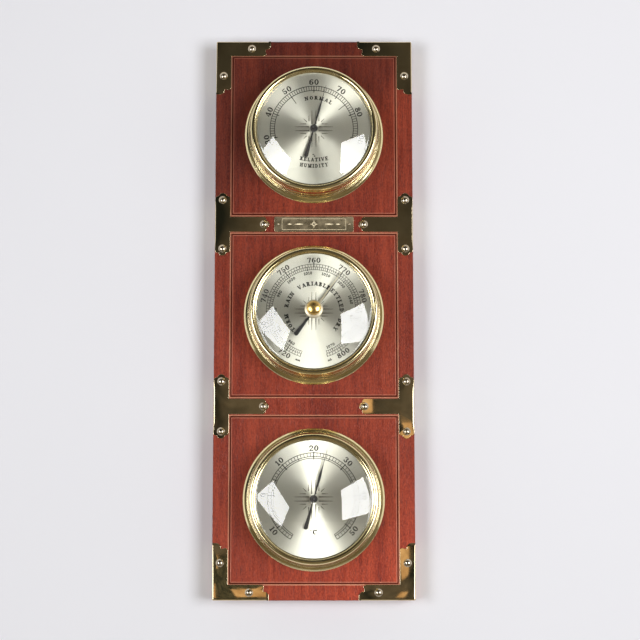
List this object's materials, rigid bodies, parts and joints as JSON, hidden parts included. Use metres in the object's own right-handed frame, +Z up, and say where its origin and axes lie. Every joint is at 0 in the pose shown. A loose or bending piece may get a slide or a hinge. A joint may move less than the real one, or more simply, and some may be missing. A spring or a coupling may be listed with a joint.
{
  "type": "wall barometer with hygrometer and thermometer",
  "caption": "Upright wooden wall board with brass corner and side plates and round brass-cased instruments: hygrometer, aneroid barometer with set hand, and thermometer.",
  "frame": {"origin": "centre of the round entry of the keyhole hanger, on the wall plane", "axes": "+Z up along the board, +Y into the wall, +X to the right as seen from the front; the dials face -Y"},
  "size_m": [0.145, 0.0567, 0.41],
  "materials": {
    "mahogany": "red-brown mahogany, satin lacquer",
    "polished_brass": "polished and lacquered",
    "plain_brass": "milled, unpolished",
    "brassed_steel": "brass-plated sheet steel",
    "silvered_dial": "silvered, brushed in circles, printed in black",
    "glass": "clear domed glass",
    "blackened_steel": "black lacquer",
    "black_ring": "matte black",
    "nickel_silver": "bare nickel silver, waved skin",
    "steel": "bright steel"
  },
  "bodies": {
    "board": {"backboard": "mahogany", "corner_plate_top_left": "polished_brass", "corner_plate_top_right": "polished_brass", "corner_plate_bottom_left": "polished_brass", "corner_plate_bottom_right": "polished_brass", "side_plate_upper_left": "polished_brass", "side_plate_upper_right": "polished_brass", "side_plate_lower_left": "polished_brass", "side_plate_lower_right": "polished_brass", "plate_nails": "polished_brass", "name_plate": "polished_brass", "name_plate_pins": "polished_brass", "hanger_plate": "brassed_steel", "hanger_screws": "steel", "case_screws": "steel", "dial_bushes": "polished_brass", "hygrometer_case": "polished_brass", "hygrometer_back_cup": "steel", "hygrometer_spacer_ring": "black_ring", "hygrometer_dial": "silvered_dial", "hygrometer_bridge": "plain_brass", "hygrometer_coil": "steel", "hygrometer_lens": "glass", "hygrometer_bezel": "polished_brass", "barometer_case": "polished_brass", "barometer_back_cup": "steel", "barometer_spacer_ring": "black_ring", "barometer_dial": "silvered_dial", "barometer_base_plate": "plain_brass", "barometer_base_screws": "steel", "barometer_capsule": "nickel_silver", "barometer_main_spring": "steel", "barometer_spring_screws": "steel", "barometer_pillars": "plain_brass", "barometer_frame": "plain_brass", "barometer_bridge": "plain_brass", "barometer_hairspring": "steel", "barometer_lens_bush": "polished_brass", "barometer_lens": "glass", "barometer_bezel": "polished_brass", "thermometer_case": "polished_brass", "thermometer_back_cup": "steel", "thermometer_spacer_ring": "black_ring", "thermometer_dial": "silvered_dial", "thermometer_bridge": "plain_brass", "thermometer_coil": "steel", "thermometer_lens": "glass", "thermometer_bezel": "polished_brass"},
    "hygrometer_hand": {"hygrometer_pointer": "blackened_steel", "hygrometer_spindle": "steel"},
    "thermometer_hand": {"thermometer_pointer": "blackened_steel", "thermometer_spindle": "steel"},
    "barometer_hand": {"barometer_pointer": "blackened_steel", "barometer_spindle": "steel"},
    "sector_body": {"barometer_sector": "plain_brass"},
    "rocker_body": {"barometer_rocker": "plain_brass"},
    "lever_body": {"barometer_lever": "plain_brass"},
    "set_hand_body": {"barometer_set_hand": "polished_brass", "barometer_set_knob": "polished_brass"},
    "adjusting_screw_body": {"barometer_adjusting_screw": "plain_brass"}
  },
  "joints": [
    {"name": "hygrometer_reading", "type": "hinge", "parent": "board", "child": "hygrometer_hand", "pos_m": [0, -0.0385, -0.0524], "axis": [0, 1, 0], "range_deg": [-118.5, 87.5], "stiffness_Nm_per_rad": 0.001, "deforming": ["hygrometer_coil"]},
    {"name": "thermometer_reading", "type": "hinge", "parent": "board", "child": "thermometer_hand", "pos_m": [0, -0.0385, -0.3196], "axis": [0, 1, 0], "range_deg": [-165.5, 134.5], "stiffness_Nm_per_rad": 0.001, "deforming": ["thermometer_coil"]},
    {"name": "barometer_reading", "type": "hinge", "parent": "board", "child": "barometer_hand", "pos_m": [0, -0.0385, -0.186], "axis": [0, 1, 0], "range_deg": [-182.2, 107.8], "stiffness_Nm_per_rad": 0.001, "deforming": ["barometer_hairspring", "barometer_capsule"]},
    {"name": "sector_turn", "type": "hinge", "parent": "board", "child": "sector_body", "pos_m": [0.01072, -0.0323, -0.177], "axis": [0, 1, 0], "range_deg": [-18, 30.4]},
    {"name": "rocker_turn", "type": "hinge", "parent": "board", "child": "rocker_body", "pos_m": [0, -0.0236, -0.177], "axis": [1, 0, 0], "range_deg": [-5.25, 8.87]},
    {"name": "lever_turn", "type": "hinge", "parent": "board", "child": "lever_body", "pos_m": [0, -0.02115, -0.191], "axis": [1, 0, 0], "range_deg": [-1.76, 2.96]},
    {"name": "set_hand_turn", "type": "hinge", "parent": "board", "child": "set_hand_body", "pos_m": [0, -0.048, -0.186], "axis": [0, 1, 0], "continuous": true},
    {"name": "adjusting_screw_turn", "type": "hinge", "parent": "board", "child": "adjusting_screw_body", "pos_m": [0, -0.004, -0.186], "axis": [0, 1, 0], "range_deg": [-360, 360]}
  ],
  "couplings": [
    {"joint": "sector_turn", "follows": "barometer_reading", "ratio": -0.16667},
    {"joint": "rocker_turn", "follows": "barometer_reading", "ratio": -0.048611},
    {"joint": "lever_turn", "follows": "barometer_reading", "ratio": -0.016204}
  ]
}
